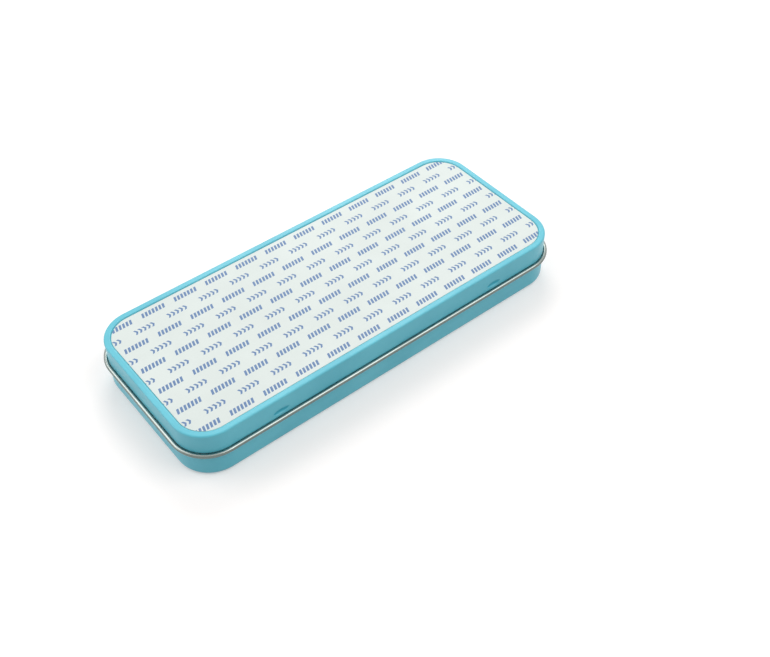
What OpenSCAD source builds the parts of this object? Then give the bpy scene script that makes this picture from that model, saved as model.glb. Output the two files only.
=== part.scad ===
// Long hinged tin for pencils: a drawn base tray with a rolled rim ring, a lid
// with a recessed panel, two wire hinge pins, and an adhesive sheet under its
// release liner. It stands on z = 0 with its length along X, its front at -Y
// and its hinge at +Y. Profiles are drawn as (u, z), where u is the distance
// outward from the lid skirt's outer face, and swept round the plan.

/* [Tin] */
// Length of the lid, end to end
lid_l = 190; // [160:1:240]
// Width of the lid, front to back
lid_w = 78.5; // [60:0.5:120]
// Height of the closed tin
tin_h = 23.4; // [23:0.2:40]
// Corner radius of the lid skirt, seen from above
corner_r = 15; // [11:0.5:24]
// Thickness of the tinplate
sheet = 0.25; // [0.22:0.01:0.28]

/* [Base tray] */
// How far the base wall stands out past the lid skirt
wall_proud = 0.2; // [0.15:0.05:0.5]
// Radius of the rounded bottom edge
bottom_r = 2.0; // [1.2:0.1:3]
// Width of the flat border that the tin stands on
foot_w = 3.2; // [2:0.2:8]
// How far the floor is pressed up inside that border
floor_step = 0.5; // [0.4:0.05:1]
// Height of the rim ring's centre above the table
ring_z = 12.8; // [11:0.2:14.4]
// Outer radius of the rim ring
ring_r = 0.95; // [0.95:0.05:1.3]
// Height of the ledge above the ring's centre
ledge_up = 0.4; // [0.3:0.05:0.6]
// Height of the neck above the ledge
neck_h = 5.0; // [4:0.2:6]
// Outer radius of the neck's rolled top edge
neck_curl_r = 0.5; // [0.4:0.05:0.8]

/* [Lid] */
// Radius of the lid's top edge
top_r = 0.7; // [0.5:0.1:1.6]
// Width of the raised border round the panel
border_w = 3.0; // [2.8:0.1:6]
// Depth of the recessed panel below the border
panel_step = 0.7; // [0.5:0.05:1.2]
// Outer radius of the skirt's rolled bottom edge
curl_r = 0.5; // [0.4:0.05:0.7]
// Distance of each front dimple's centre from the lid's end
dimple_inset = 39; // [28:1:60]
// Length of a front dimple
dimple_l = 8; // [6:0.5:14]
// Height of a front dimple
dimple_h = 3.0; // [2.4:0.1:3.4]
// Height of a dimple's centre above the centre of the rolled edge
dimple_up = 2.5; // [2.2:0.1:2.8]

/* [Hinge] */
// Distance of each hinge's centre from the lid's end
hinge_inset = 37; // [30:1:60]
// Width of a hinge tongue
tongue_w = 12; // [8:0.5:20]
// How far the rolled knuckle reaches past each side of its tongue
ear = 1.5; // [0.5:0.1:3]
// How far the pin reaches past each side of its knuckle
pin_over = 2.5; // [0.5:0.5:5]
// Angle at which the tongue meets the lip of its slot
open_angle = 110; // [90:1:120]

/* [Panel sheets] */
// Thickness of the adhesive sheet
adhesive_t = 0.2; // [0.1:0.01:0.25]
// Thickness of the release liner
liner_t = 0.1; // [0.06:0.01:0.15]
// Gap from the foot of the border to the sheets
sheet_inset = 0.1; // [0.05:0.05:1]

/* [Clearances] */
// Gap between the lid's rolled edge and the ledge under it
seat_gap = 0.15; // [0.1:0.05:0.3]
// Gap between the lid's rolled edge and the neck inside it
neck_gap = 0.35; // [0.3:0.05:0.6]
// Gap between a front dimple and the neck
dimple_gap = 0.25; // [0.25:0.05:0.4]
// Radial running clearance of knuckle in ring and of pin in knuckle
run_gap = 0.06; // [0.03:0.01:0.08]
// Gap at each side of a tongue in its slot
side_gap = 0.25; // [0.1:0.05:0.5]

/* [Hidden] */
$fn = 96;
half = sheet / 2;

// Places along the length
dimple_x = lid_l / 2 - dimple_inset;
hinge_x = lid_l / 2 - hinge_inset;

// Base section
ring_u = wall_proud - sheet + ring_r;
ledge_z = ring_z + ledge_up;
neck_u = -(2 * curl_r + neck_gap);
neck_curl_z = ledge_z + neck_h - neck_curl_r;

// Lid section
curl_z = ledge_z + seat_gap + curl_r;
skirt_u = -half;
top_z = tin_h - half;
panel_z = tin_h - panel_step;

// Hinge section, about the ring's centre. The stem runs from inside the skirt to inside the knuckle
free_end_gap_a = 20; // open seam of the knuckle
lip_margin_a = 3; // play at the slot's lips
nip = 0.025; // how far the stem's line lies inside the knuckle's
weld = 0.16; // how far stem and knuckle run on into each other
bore_r = ring_r - sheet;
knuckle_r = bore_r - run_gap;
knuckle_mid_r = knuckle_r - half;
stem_r = knuckle_mid_r - nip;
pin_r = knuckle_r - sheet - run_gap;
hinge_y = lid_w / 2 + ring_u;
notch_top_z = curl_z + curl_r + half;
elbow = [skirt_u - ring_u, notch_top_z + half - ring_z];
stem_a = atan2(elbow[1], elbow[0]) - acos(stem_r / norm(elbow));
knuckle_w = tongue_w + 2 * ear;

// A strip of sheet whose middle runs from p to q
module strip(p, q) {
    n = [p[1] - q[1], q[0] - p[0]] * half / norm(q - p);
    polygon([p + n, q + n, q - n, p - n]);
}

// A wedge of radius r from angle a0 to a1
module wedge(r, a0, a1) {
    steps = ceil((a1 - a0) / 60);
    reach = r / cos(30);
    polygon(concat([[0, 0]],
        [for (i = [0:steps]) let (a = a0 + (a1 - a0) * i / steps) reach * [cos(a), sin(a)]]));
}

// A closed roll of sheet with outer radius r
module roll(r) {
    difference() {
        circle(r = r);
        circle(r = r - sheet);
    }
}

// A bend of sheet with middle radius r, from angle a0 to a1
module bend(r, a0, a1) {
    intersection() {
        roll(r + half);
        wedge(r + sheet, a0, a1);
    }
}

// A step from a high border down to a panel further in. It ends at u, on the panel
module step_down(u, z_high, depth) {
    r = depth / 2;
    translate([u + depth, z_high - r]) bend(r, 90, 180);
    translate([u, z_high - r]) bend(r, 270, 360);
}

// A rounded rectangle that lies inset from the lid skirt's outer face
module plan(inset) {
    r = corner_r - inset;
    square([lid_l - 2 * corner_r, lid_w - 2 * inset], center = true);
    square([lid_l - 2 * inset, lid_w - 2 * corner_r], center = true);
    for (sx = [-1, 1], sy = [-1, 1])
        translate([sx * (lid_l / 2 - corner_r), sy * (lid_w / 2 - corner_r)]) circle(r = r);
}

// Sweeps a (u, z) profile round the plan
module around() {
    a = lid_l / 2 - corner_r;
    b = lid_w / 2 - corner_r;
    for (turn = [0, 180]) {
        rotate(turn) translate([lid_l / 2, 0, 0]) rotate([90, 0, 0])
            linear_extrude(height = 2 * b, center = true) children();
        rotate(turn + 90) translate([lid_w / 2, 0, 0]) rotate([90, 0, 0])
            linear_extrude(height = 2 * a, center = true) children();
        rotate(turn) translate([a, b, 0])
            rotate_extrude(angle = 90) translate([corner_r, 0]) children();
        rotate(turn) translate([-a, b, 0]) rotate(90)
            rotate_extrude(angle = 90) translate([corner_r, 0]) children();
    }
}

// Extrudes a profile drawn about the hinge axis along X, centred on x
module along_hinge(x, width) {
    translate([x, hinge_y, ring_z]) rotate([90, 0, 90])
        linear_extrude(height = width, center = true) children();
}

module base_profile() {
    wall_u = wall_proud - half;
    floor_r = bottom_r - half;
    foot_u = wall_proud - bottom_r;
    panel_u = foot_u - foot_w;
    // floor border, rounded edge and wall
    strip([panel_u, half], [foot_u, half]);
    translate([foot_u, bottom_r]) bend(floor_r, 270, 360);
    strip([wall_u, bottom_r], [wall_u, ring_z]);
    // rim ring, ledge and neck
    translate([ring_u, ring_z]) roll(ring_r);
    strip([neck_u - half, ledge_z - half], [wall_u, ledge_z - half]);
    strip([neck_u - half, ledge_z - sheet], [neck_u - half, neck_curl_z]);
    translate([neck_u - neck_curl_r, neck_curl_z]) roll(neck_curl_r);
}

// The opening in the ring that the tongue swings through
module slot_profile() {
    rest_a = stem_a + acos((stem_r - half) / ring_r) + lip_margin_a;
    stop_a = stem_a - open_angle + acos((stem_r + half) / bore_r) - lip_margin_a;
    wedge(ring_r + sheet, stop_a, rest_a);
}

module base_tray() color([0.42, 0.76, 0.83]) difference() {
    union() {
        around() base_profile();
        floor_pan();
    }
    for (s = [-1, 1]) along_hinge(s * hinge_x, tongue_w + 2 * side_gap) slot_profile();
}

// The floor's pressed step and its raised middle
module floor_pan() {
    step_u = wall_proud - bottom_r - foot_w;
    r = floor_step / 2;
    around() {
        translate([step_u, half + r]) bend(r, 180, 270);
        translate([step_u - floor_step, half + r]) bend(r, 0, 90);
    }
    translate([0, 0, floor_step]) linear_extrude(height = sheet) plan(floor_step - step_u);
}

module lid_profile() {
    roof_u = -top_r;
    strip([skirt_u, curl_z], [skirt_u, tin_h - top_r]);
    translate([-curl_r, curl_z]) roll(curl_r);
    translate([roof_u, tin_h - top_r]) bend(top_r - half, 0, 90);
    strip([roof_u, top_z], [panel_step - border_w, top_z]);
    step_down(-border_w, top_z, panel_step);
}

// A hinge tongue: the stem that leaves the skirt and the knuckle rolled round the pin
module knuckle_profile() {
    free_a = stem_a + acos((stem_r - half) / knuckle_r) + free_end_gap_a;
    bend(knuckle_mid_r, free_a - 360, stem_a + asin(weld / knuckle_mid_r));
}

module stem_profile() {
    strip(elbow, stem_r * [cos(stem_a), sin(stem_a)] + weld * [sin(stem_a), -cos(stem_a)]);
}

// A lens turned about X: where it meets the skirt it is as long and high as a dimple
module dimple(depth, grow) {
    out = (pow(dimple_h / 2, 2) - depth * depth) / (2 * depth);
    arc_r = (pow(dimple_l / 2, 2) + depth * depth) / (2 * depth);
    translate([0, -lid_w / 2 - out, curl_z + dimple_up]) rotate([0, 90, 0])
        rotate_extrude() intersection() {
            translate([out + depth - arc_r, 0]) circle(r = arc_r + grow);
            translate([0, -dimple_l]) square([dimple_h + dimple_l, 2 * dimple_l]);
        }
}

module lid_shell() color([0.48, 0.82, 0.9]) {
    depth = -neck_u - sheet - dimple_gap;
    notch_w = tongue_w + 4 * side_gap;
    difference() {
        union() {
            around() lid_profile();
            translate([0, 0, panel_z - sheet]) linear_extrude(height = sheet) plan(border_w);
            for (s = [-1, 1]) intersection() {
                translate([s * dimple_x, 0, 0]) dimple(depth, sheet);
                translate([s * dimple_x - dimple_l, -lid_w / 2, curl_z])
                    cube([2 * dimple_l, 2 * curl_r + neck_gap, dimple_up + dimple_h]);
            }
        }
        for (s = [-1, 1]) {
            translate([s * dimple_x, 0, 0]) dimple(depth, 0);
            translate([s * hinge_x - notch_w / 2, lid_w / 2 + neck_u, curl_z - 2 * curl_r])
                cube([notch_w, 2 * curl_r + neck_gap + sheet, notch_top_z - curl_z + 2 * curl_r]);
        }
    }
    for (s = [-1, 1]) {
        along_hinge(s * hinge_x, knuckle_w) knuckle_profile();
        along_hinge(s * hinge_x, tongue_w) stem_profile();
    }
}

module hinge_pin(side) color([0.75, 0.76, 0.76])
    along_hinge(side * hinge_x, knuckle_w + 2 * pin_over) circle(r = pin_r);

module hinge_pin_left() hinge_pin(-1);

module hinge_pin_right() hinge_pin(1);

module adhesive_sheet() color([0.93, 0.9, 0.8])
    translate([0, 0, panel_z]) linear_extrude(height = adhesive_t) plan(border_w + sheet_inset);

module release_liner() color([0.9, 0.92, 0.88])
    translate([0, 0, panel_z + adhesive_t]) linear_extrude(height = liner_t)
        plan(border_w + sheet_inset);

base_tray();
lid_shell();
hinge_pin_left();
hinge_pin_right();
adhesive_sheet();
release_liner();
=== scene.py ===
"""Looks of the hinged pencil tin: enamel, tinplate, wire, adhesive film and printed liner."""
import math

import bpy
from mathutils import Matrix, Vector

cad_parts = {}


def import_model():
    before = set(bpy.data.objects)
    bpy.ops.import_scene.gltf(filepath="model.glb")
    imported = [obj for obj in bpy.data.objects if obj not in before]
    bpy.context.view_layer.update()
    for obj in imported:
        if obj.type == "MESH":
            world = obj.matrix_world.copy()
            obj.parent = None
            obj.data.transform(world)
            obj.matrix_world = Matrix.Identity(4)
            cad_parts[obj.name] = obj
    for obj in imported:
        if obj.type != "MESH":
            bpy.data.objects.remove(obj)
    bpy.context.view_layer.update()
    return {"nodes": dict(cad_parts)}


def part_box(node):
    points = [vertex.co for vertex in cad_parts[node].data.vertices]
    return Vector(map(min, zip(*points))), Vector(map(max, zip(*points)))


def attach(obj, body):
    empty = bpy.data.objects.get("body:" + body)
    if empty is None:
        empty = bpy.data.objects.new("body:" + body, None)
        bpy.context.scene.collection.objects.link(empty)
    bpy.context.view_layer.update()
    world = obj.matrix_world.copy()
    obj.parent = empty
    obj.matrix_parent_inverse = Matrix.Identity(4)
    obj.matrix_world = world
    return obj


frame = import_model()
nodes = frame["nodes"]

MM = 0.001

# Sizes of the tin that the materials and the print follow, in metres
CORNER_R = 15 * MM            # plan radius of the lid skirt
RING_BOTTOM_Z = 12.15 * MM    # paint on the base wall ends where the rim ring meets it
WALL_FACE = 0.27 * MM         # the base wall's face lies inside this distance, the ring outside it
CURL_TOP_Z = 14.4 * MM        # top of the roll at the skirt's bottom edge
DIMPLE_LINE_Z = 15.8 * MM     # height of the line of painted shade in the dimples
ROOF_Z = 22.2 * MM            # the lid's roof and border lie above this height
BORDER_MIDDLE = -1.5 * MM     # between the skirt and the step down to the panel
lid_low, lid_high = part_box("lid_shell")
liner_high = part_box("release_liner")[1]
LID_HALF_X = lid_high.x
LID_HALF_Y = -lid_low.y
LINER_HALF_X = liner_high.x
LINER_HALF_Y = liner_high.y
LINER_CORNER_R = CORNER_R - (LID_HALF_X - LINER_HALF_X)
LINER_TOP_Z = liner_high.z


def add_to_scene(name, data):
    made = bpy.data.objects.new(name, data)
    bpy.context.scene.collection.objects.link(made)
    return made


# ---------------------------------------------------------------- camera
# The photograph's viewing angle: in front and to the left, looking down at 46 degrees
CAMERA_LENS = 49.975
CAMERA_SENSOR = 36
CAMERA_PLACE = (-0.18891, -0.269, 0.33784)
CAMERA_TURN = (43.575, 0.184, -38.971)
CAMERA_CLIP_START = 0.01


def camera():
    data = bpy.data.cameras.new("camera")
    data.lens = CAMERA_LENS
    data.sensor_width = CAMERA_SENSOR
    data.clip_start = CAMERA_CLIP_START
    made = add_to_scene("camera", data)
    made.location = CAMERA_PLACE
    made.rotation_euler = [math.radians(a) for a in CAMERA_TURN]
    bpy.context.scene.camera = made


camera()


# ---------------------------------------------------------------- node helpers
def srgb(r, g, b):
    """An sRGB colour from 0 to 255 as the linear colour that Blender mixes."""
    return tuple(c / 12.92 if c <= 0.04045 else ((c + 0.055) / 1.055) ** 2.4
                 for c in (v / 255 for v in (r, g, b))) + (1.0,)


class Graph:
    """The node tree of a material or world, with short calls for the nodes used here."""

    def __init__(self, owner, output="ShaderNodeOutputMaterial"):
        self.owner = owner
        owner.use_nodes = True
        self.tree = owner.node_tree
        self.tree.nodes.clear()
        self.output = self.node(output)

    def node(self, kind, **settings):
        made = self.tree.nodes.new(kind)
        for key, value in settings.items():
            setattr(made, key, value)
        return made

    def put(self, value, socket):
        """Links value to socket if it comes from a node, and sets it otherwise."""
        if isinstance(value, bpy.types.NodeSocket):
            self.tree.links.new(value, socket)
        else:
            socket.default_value = value

    def fed(self, kind, *values, **settings):
        """A new node with its first sockets filled in order."""
        made = self.node(kind, **settings)
        for value, socket in zip(values, made.inputs):
            self.put(value, socket)
        return made

    def named(self, kind, **values):
        """A new node with its sockets filled by name, _ for a space; gives its first output."""
        made = self.node(kind)
        for key, value in values.items():
            self.put(value, made.inputs[key.replace("_", " ")])
        return made.outputs[0]

    def math(self, operation, *values):
        return self.fed("ShaderNodeMath", *values, operation=operation).outputs[0]

    def vector(self, operation, *values):
        made = self.fed("ShaderNodeVectorMath", *values, operation=operation)
        is_number = operation in ("LENGTH", "DOT_PRODUCT")
        return made.outputs["Value" if is_number else "Vector"]

    def both(self, a, b):
        """a and b, as shares from 0 to 1."""
        return self.math("MULTIPLY", a, b)

    def either(self, a, b):
        return self.math("MAXIMUM", a, b)

    def split(self, value):
        return self.fed("ShaderNodeSeparateXYZ", value).outputs

    def join(self, x, y, z):
        return self.fed("ShaderNodeCombineXYZ", x, y, z).outputs[0]

    def place(self):
        """The point in the row frame at rest, in metres."""
        return self.node("ShaderNodeTexCoord").outputs["Object"]

    def normal(self):
        """The surface's direction in the piece's own frame, so that a pose doesn't turn it."""
        return self.fed("ShaderNodeVectorTransform",
                        self.node("ShaderNodeNewGeometry").outputs["Normal"],
                        vector_type="NORMAL", convert_from="WORLD", convert_to="OBJECT").outputs[0]

    def noise(self, where, scale, detail=2.0, roughness=0.5):
        """Noise from 0 to 1; scale counts its cells in a metre, or in a unit of where."""
        return self.named("ShaderNodeTexNoise", Vector=where, Scale=scale, Detail=detail,
                          Roughness=roughness)

    def remap(self, value, low, high, to_low, to_high):
        return self.fed("ShaderNodeMapRange", value, low, high, to_low, to_high).outputs[0]

    def mix_colour(self, share, a, b):
        made = self.node("ShaderNodeMix", data_type="RGBA")
        self.put(share, made.inputs["Factor"])
        self.put(a, made.inputs["A"])
        self.put(b, made.inputs["B"])
        return made.outputs["Result"]

    def bump(self, height, depth):
        return self.named("ShaderNodeBump", Height=height, Distance=depth, Strength=1.0)

    def principled(self, **values):
        return self.named("ShaderNodeBsdfPrincipled", **values)

    def mix_shader(self, share, a, b):
        return self.fed("ShaderNodeMixShader", share, a, b).outputs[0]

    def finish(self, shader):
        self.put(shader, self.output.inputs["Surface"])
        return self.owner


def new_material(name):
    return Graph(bpy.data.materials.new(name))


# ---------------------------------------------------------------- finishes
ENAMEL = srgb(99, 198, 216)
ENAMEL_DEEP = srgb(92, 190, 209)
# painted shade for the pressed dimples
ENAMEL_SHADED = srgb(63, 165, 185)
TINPLATE = srgb(200, 205, 202)
TINPLATE_CLOUDY = srgb(192, 197, 194)
# the rim ring's tinplate, darker than the inside's: painted shade for the darker surroundings it
# reflects
TINPLATE_RING_SHADE = srgb(168, 176, 172)
TINPLATE_RING_SHADE_CLOUDY = srgb(150, 158, 154)
# painted shade on the rim ring below its crest
TINPLATE_UNDERSIDE_SHADE = srgb(114, 124, 120)
WIRE = srgb(186, 187, 184)
ADHESIVE = srgb(232, 226, 205)
ADHESIVE_PALE = srgb(243, 239, 224)
PAPER = srgb(215, 223, 219)
PAPER_PALE = srgb(223, 231, 227)
INK = srgb(83, 115, 162)
INK_THIN = srgb(108, 141, 183)

ENAMEL_GLOSS = 0.5             # specular level of the enamel where no shade is painted
# the gloss where the painted shade is full
SHADED_GLOSS = 0.15

# Depths of the fine relief that shows in the gloss
ENAMEL_SKIN = 0.006 * MM
ROLLING_LINES = 0.004 * MM
DRAWN_LINES = 0.005 * MM
FILM_RIPPLE = 0.01 * MM
PAPER_FIBRES = 0.012 * MM

# Where the finishes change, besides the sizes at the top
FOOT_Z = 1 * MM               # the base wall proper begins above its rounded foot
WALL_FACING = 0.3             # least outward share of direction that counts as wall
FACING = 0.02                 # least share of direction that counts as facing in, out or down
CREST = (-0.45, 0.1)          # over these the rim ring goes from lit to painted shade past its crest
DIMPLE_DEEP = -0.3 * MM       # how far in a dimple the painted shade is strongest
DIMPLE_RIM = -0.02 * MM       # and where there is none
SHADE_CORE = 0.2 * MM         # half height of the band of strongest painted shade
SHADE_REACH = 0.9 * MM        # and where it ends


def enamel(g, painted_shade=None):
    """Satin turquoise enamel, roller-coated before drawing; the optional share from 0 to 1 darkens
    it and lowers its gloss as painted shade.
    """
    where = g.place()
    cloud = g.noise(where, 45, detail=3)
    colour = g.mix_colour(g.remap(cloud, 0.35, 0.65, 0, 1), ENAMEL, ENAMEL_DEEP)
    gloss = ENAMEL_GLOSS
    if painted_shade is not None:
        colour = g.mix_colour(painted_shade, colour, ENAMEL_SHADED)
        gloss = g.remap(painted_shade, 0.0, 1.0, ENAMEL_GLOSS, SHADED_GLOSS)
    skin = g.noise(where, 1400, detail=2)
    return g.principled(Base_Color=colour, Roughness=g.remap(cloud, 0.3, 0.7, 0.31, 0.38),
                        Specular_IOR_Level=gloss, Normal=g.bump(skin, ENAMEL_SKIN))


def tinplate(g, ring_shade=None, underside_shade=None):
    """Bare tinplate with its fine rolling lines along the tin; the two optional shares darken it
    with painted shade, over the rim ring and below its crest.
    """
    where = g.place()
    lines = g.noise(g.vector("MULTIPLY", where, (60, 2600, 2600)), 1, detail=3)
    cloud = g.noise(where, 70, detail=4, roughness=0.6)
    cloudy = g.remap(cloud, 0.35, 0.7, 0, 1)
    colour = g.mix_colour(cloudy, TINPLATE, TINPLATE_CLOUDY)
    if ring_shade is not None:
        colour = g.mix_colour(ring_shade, colour, g.mix_colour(cloudy, TINPLATE_RING_SHADE, TINPLATE_RING_SHADE_CLOUDY))
    if underside_shade is not None:
        colour = g.mix_colour(underside_shade, colour, TINPLATE_UNDERSIDE_SHADE)
    return g.principled(Base_Color=colour, Metallic=1.0,
                        Roughness=g.remap(g.math("ADD", cloud, lines), 0.7, 1.3, 0.2, 0.32),
                        Normal=g.bump(lines, ROLLING_LINES))


def outward(g):
    """How far a point lies outside the lid skirt's outline, and how far the surface there
    faces away from the tin and up."""
    x, y, _ = g.split(g.place())
    side_x = g.math("SUBTRACT", g.math("ABSOLUTE", x), LID_HALF_X - CORNER_R)
    side_y = g.math("SUBTRACT", g.math("ABSOLUTE", y), LID_HALF_Y - CORNER_R)
    over_x = g.math("MAXIMUM", side_x, 0.0)
    over_y = g.math("MAXIMUM", side_y, 0.0)
    inside = g.math("MINIMUM", g.math("MAXIMUM", side_x, side_y), 0.0)
    away = g.vector("LENGTH", g.join(over_x, over_y, 0.0))
    distance = g.math("SUBTRACT", g.math("ADD", away, inside), CORNER_R)
    # towards the outline's nearest side, or away from the corner's centre
    to_side_x = g.math("GREATER_THAN", side_x, side_y)
    at_side = g.join(to_side_x, g.math("SUBTRACT", 1.0, to_side_x), 0.0)
    at_corner = g.join(over_x, over_y, 0.0)
    beyond = g.math("GREATER_THAN", away, 0.01 * MM)
    pick = g.node("ShaderNodeMix", data_type="VECTOR")
    g.put(beyond, pick.inputs["Factor"])
    g.put(at_side, pick.inputs[4])      # the vector A
    g.put(at_corner, pick.inputs[5])    # the vector B
    direction = g.vector("NORMALIZE", pick.outputs[1])
    nx, ny, nz = g.split(g.normal())
    # mirrored into the +x +y quarter, where the direction is worked out
    facing = g.join(g.math("MULTIPLY", nx, g.math("SIGN", x)),
                    g.math("MULTIPLY", ny, g.math("SIGN", y)), 0.0)
    return distance, g.vector("DOT_PRODUCT", facing, direction), nz


def base_finish():
    """Enamel on the base's outside up to the ring; bare tinplate on ring, neck and inside."""
    g = new_material("base_finish")
    z = g.split(g.place())[2]
    distance, faces_out, faces_up = outward(g)
    low = g.math("LESS_THAN", z, RING_BOTTOM_Z)
    ring = g.math("GREATER_THAN", distance, WALL_FACE)
    not_ring = g.math("LESS_THAN", distance, WALL_FACE)
    wall = g.both(g.math("GREATER_THAN", faces_out, WALL_FACING),
                  g.math("GREATER_THAN", z, FOOT_Z))
    under = g.math("LESS_THAN", faces_up, -FACING)
    painted = g.both(g.both(low, not_ring), g.either(wall, under))
    # painted shade: the ring darkens outside and below its crest, standing in for the darker
    # surroundings it reflects there
    shade_below_crest = g.remap(g.math("SUBTRACT", faces_out, faces_up), *CREST, 0.0, 1.0)
    return g.finish(g.mix_shader(painted, tinplate(g, ring, g.both(ring, shade_below_crest)), enamel(g)))


def lid_finish():
    """Enamel on the lid's outside, its rolled edge and its knuckles; bare tinplate inside."""
    g = new_material("lid_finish")
    z = g.split(g.place())[2]
    distance, faces_out, faces_up = outward(g)
    at_skirt = g.both(g.math("GREATER_THAN", z, CURL_TOP_Z),
                      g.math("GREATER_THAN", distance, BORDER_MIDDLE))
    skirt_inside = g.both(at_skirt, g.math("LESS_THAN", faces_out, -FACING))
    at_step = g.math("LESS_THAN", distance, BORDER_MIDDLE)
    step_inside = g.both(at_step, g.math("GREATER_THAN", faces_out, FACING))
    under = g.math("LESS_THAN", faces_up, -FACING)
    roof_inside = g.both(g.math("GREATER_THAN", z, ROOF_Z), g.either(under, step_inside))
    bare = g.either(skirt_inside, roof_inside)
    # painted shade in the pressed dimples, darkest in a band just below their deepest line
    deep = g.remap(distance, DIMPLE_DEEP, DIMPLE_RIM, 1.0, 0.0)
    off_line = g.math("ABSOLUTE", g.math("SUBTRACT", z, DIMPLE_LINE_Z))
    shade_band = g.remap(off_line, SHADE_CORE, SHADE_REACH, 1.0, 0.0)
    painted_shade = g.both(g.both(at_skirt, deep), shade_band)
    return g.finish(g.mix_shader(bare, enamel(g, painted_shade), tinplate(g)))


def wire_finish():
    """Drawn steel wire, with its lines along it."""
    g = new_material("wire_finish")
    lines = g.noise(g.vector("MULTIPLY", g.place(), (90, 5000, 5000)), 1, detail=2)
    return g.finish(g.principled(Base_Color=WIRE, Metallic=1.0,
                                 Roughness=g.remap(lines, 0.3, 0.7, 0.22, 0.4),
                                 Normal=g.bump(lines, DRAWN_LINES)))


def adhesive_finish():
    """Tacky cream film, seen only at its edge while the liner is on."""
    g = new_material("adhesive_finish")
    cloud = g.noise(g.place(), 300, detail=3)
    return g.finish(g.principled(Base_Color=g.mix_colour(cloud, ADHESIVE, ADHESIVE_PALE),
                                 Roughness=0.3, Normal=g.bump(cloud, FILM_RIPPLE)))


def liner_finish():
    """Coated release paper: off-white with faint fibre clouds and a soft coated gloss."""
    g = new_material("liner_finish")
    where = g.place()
    cloud = g.noise(where, 30, detail=5, roughness=0.6)
    fibres = g.noise(g.vector("MULTIPLY", where, (900, 2400, 900)), 1, detail=4, roughness=0.65)
    shade = g.math("ADD", g.math("MULTIPLY", cloud, 0.7), g.math("MULTIPLY", fibres, 0.3))
    colour = g.mix_colour(g.remap(shade, 0.35, 0.65, 0, 1), PAPER, PAPER_PALE)
    return g.finish(g.principled(Base_Color=colour,
                                 Roughness=g.remap(fibres, 0.3, 0.7, 0.5, 0.62),
                                 Normal=g.bump(fibres, PAPER_FIBRES)))


def ink_finish():
    """Thin blue flexographic ink, a little uneven where the paper takes less of it."""
    g = new_material("ink_finish")
    cover = g.noise(g.place(), 2500, detail=3, roughness=0.7)
    colour = g.mix_colour(g.remap(cover, 0.3, 0.7, 0, 1), INK, INK_THIN)
    return g.finish(g.principled(Base_Color=colour, Roughness=0.5))


def dress(material, *names):
    for name in names:
        for slot in nodes[name].material_slots:
            slot.material = material


dress(base_finish(), "base_tray")
dress(lid_finish(), "lid_shell")
dress(wire_finish(), "hinge_pin_left", "hinge_pin_right")
dress(adhesive_finish(), "adhesive_sheet")
dress(liner_finish(), "release_liner")


# ---------------------------------------------------------------- print on the liner
# A generic print: rows of chevron marks between rows of slanted bars,
# laid like bricks, each row shifted by half a pitch
MARK_PITCH = 15.4 * MM
ROW_PITCH = 6.6 * MM
GLYPH_H = 2.6 * MM
CHEVRON_ARM = 0.8 * MM
CHEVRON_STROKE = 0.9 * MM
BAR_W = 1.0 * MM
BAR_SLANT = 0.7 * MM
INK_LIFT = 0.012 * MM
CORNER_STEPS = 16


def chevron(x, y):
    """Two slanted strokes that meet at a point, as two four-sided pieces."""
    arm, stroke = CHEVRON_ARM, CHEVRON_STROKE
    half = GLYPH_H / 2
    up = [(x, y), (x + stroke, y), (x + arm + stroke, y + half), (x + arm, y + half)]
    down = [(px, 2 * (y + half) - py) for px, py in reversed(up)]
    return [up, down]


def bar(x, y):
    """One slanted bar."""
    top = y + GLYPH_H
    return [[(x, y), (x + BAR_W, y), (x + BAR_W + BAR_SLANT, top), (x + BAR_SLANT, top)]]


# the glyph of the even and of the odd rows, how many make a mark, and their pitch
MARKS = ((chevron, 5, 1.9 * MM), (bar, 7, 1.6 * MM))


def mark(kind, x, y):
    """One mark of the print, centred on (x, y)."""
    glyph, count, pitch = MARKS[kind]
    left = x - count * pitch / 2
    return [quad for i in range(count) for quad in glyph(left + i * pitch, y - GLYPH_H / 2)]


def liner_outline():
    """The liner's edge as a list of points, counterclockwise."""
    points = []
    for corner, (sx, sy) in enumerate(((1, 1), (-1, 1), (-1, -1), (1, -1))):
        for i in range(CORNER_STEPS + 1):
            a = math.pi / 2 * (corner + i / CORNER_STEPS)
            points.append((sx * (LINER_HALF_X - LINER_CORNER_R) + LINER_CORNER_R * math.cos(a),
                           sy * (LINER_HALF_Y - LINER_CORNER_R) + LINER_CORNER_R * math.sin(a)))
    return points


def clip(quad, outline):
    """The part of a four-sided piece that lies on the liner."""
    kept = quad
    for (ax, ay), (bx, by) in zip(outline, outline[1:] + outline[:1]):
        before, kept = kept, []
        sides = [(bx - ax) * (py - ay) - (by - ay) * (px - ax) for px, py in before]
        for i, (p, side) in enumerate(zip(before, sides)):
            q, other = before[i - 1], sides[i - 1]
            if (side < 0) != (other < 0):
                t = other / (other - side)
                kept.append((q[0] + t * (p[0] - q[0]), q[1] + t * (p[1] - q[1])))
            if side >= 0:
                kept.append(p)
        if not kept:
            return []
    return kept


def liner_print():
    outline = liner_outline()
    vertices, faces = [], []
    rows = math.ceil(LINER_HALF_Y / ROW_PITCH)
    columns = math.ceil(LINER_HALF_X / MARK_PITCH) + 1
    for row in range(-rows, rows + 1):
        for column in range(-columns, columns + 1):
            x = (column + 0.5 * (row % 2)) * MARK_PITCH
            for quad in mark(row % 2, x, row * ROW_PITCH):
                kept = clip(quad, outline)
                if len(kept) < 3:
                    continue
                faces.append(list(range(len(vertices), len(vertices) + len(kept))))
                vertices += [(px, py, LINER_TOP_Z + INK_LIFT) for px, py in kept]
    mesh = bpy.data.meshes.new("liner_print")
    mesh.from_pydata(vertices, [], faces)
    mesh.materials.append(ink_finish())
    made = add_to_scene("liner_print", mesh)
    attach(made, "lid")


liner_print()


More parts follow.
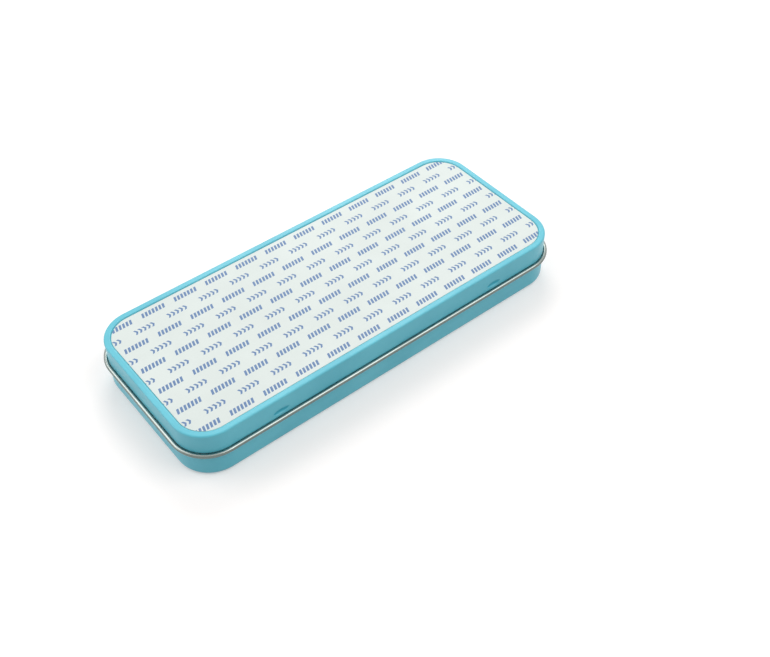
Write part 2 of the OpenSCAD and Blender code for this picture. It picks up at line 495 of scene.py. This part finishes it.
# ---------------------------------------------------------------- floor and light
WHITE = (1.0, 1.0, 1.0, 1.0)
AMBIENT = 0.5                          # the world's light on the tin; white is 1
FLOOR_HALF = 3.0
FLOOR_DROP = 0.02 * MM                 # keeps it clear of the tin's standing face
FLOOR_SEEN = (0.84, 0.8, 0.785, 1.0)   # pale, so that the shadow shows
FLOOR_BOUNCE = (0.5, 0.5, 0.5, 1.0)    # what it gives back to the tin is less
# the floor's lift towards white grows with the distance from the tin, because the lamps
# don't reach the far floor: (distance, lift)
LIFT_NEAR = (0.4, 0.27)
LIFT_FAR = (2.0, 0.68)
# name, place, the point that it is aimed at, the side of its square, watts
SOFTBOXES = (
    ("key", (0.35, 0.49, 0.6), (0, 0, 0), 0.42, 2),
    ("front", (0.5, -0.6, 1.05), (0, 0, 0), 0.9, 5.5),
    ("left", (-0.6, 0.75, 1.0), (0, 0, 0), 0.8, 3.7),
    ("side", (-0.86, 0.38, 0.3), (0, 0, 0.01), 0.5, 1.17),
)


def seen(g):
    """1 for rays from the camera and for reflections, which see the white background."""
    rays = g.node("ShaderNodeLightPath").outputs
    return g.either(g.either(rays["Is Camera Ray"], rays["Is Glossy Ray"]),
                    rays["Is Transmission Ray"])


def floor_finish():
    g = new_material("floor_finish")
    shown = seen(g)
    paper = g.principled(Base_Color=g.mix_colour(shown, FLOOR_BOUNCE, FLOOR_SEEN), Roughness=0.9)
    (near, near_lift), (far, far_lift) = LIFT_NEAR, LIFT_FAR
    lift = g.remap(g.vector("LENGTH", g.place()), near, far, near_lift, far_lift)
    glow = g.named("ShaderNodeEmission", Color=WHITE, Strength=g.math("MULTIPLY", shown, lift))
    return g.finish(g.fed("ShaderNodeAddShader", paper, glow).outputs[0])


def floor():
    mesh = bpy.data.meshes.new("floor")
    h = FLOOR_HALF
    mesh.from_pydata([(-h, -h, 0), (h, -h, 0), (h, h, 0), (-h, h, 0)], [], [(0, 1, 2, 3)])
    mesh.materials.append(floor_finish())
    made = add_to_scene("floor", mesh)
    made.location.z = -FLOOR_DROP


def world():
    """An even soft light from all round; the camera and reflections see plain white."""
    g = Graph(bpy.data.worlds.new("studio"), "ShaderNodeOutputWorld")
    ambient, white = (g.named("ShaderNodeBackground", Color=WHITE, Strength=strength)
                      for strength in (AMBIENT, 1.0))
    bpy.context.scene.world = g.finish(g.mix_shader(seen(g), ambient, white))


def softbox(name, place, aim, side, watts):
    data = bpy.data.lights.new(name, "AREA")
    data.shape = "RECTANGLE"
    data.size = data.size_y = side
    data.energy = watts
    made = add_to_scene(name, data)
    made.location = place
    made.rotation_euler = (Vector(aim) - Vector(place)).to_track_quat("-Z", "Y").to_euler()


floor()
world()
for settings in SOFTBOXES:
    softbox(*settings)

bpy.context.scene.view_settings.view_transform = "Standard"
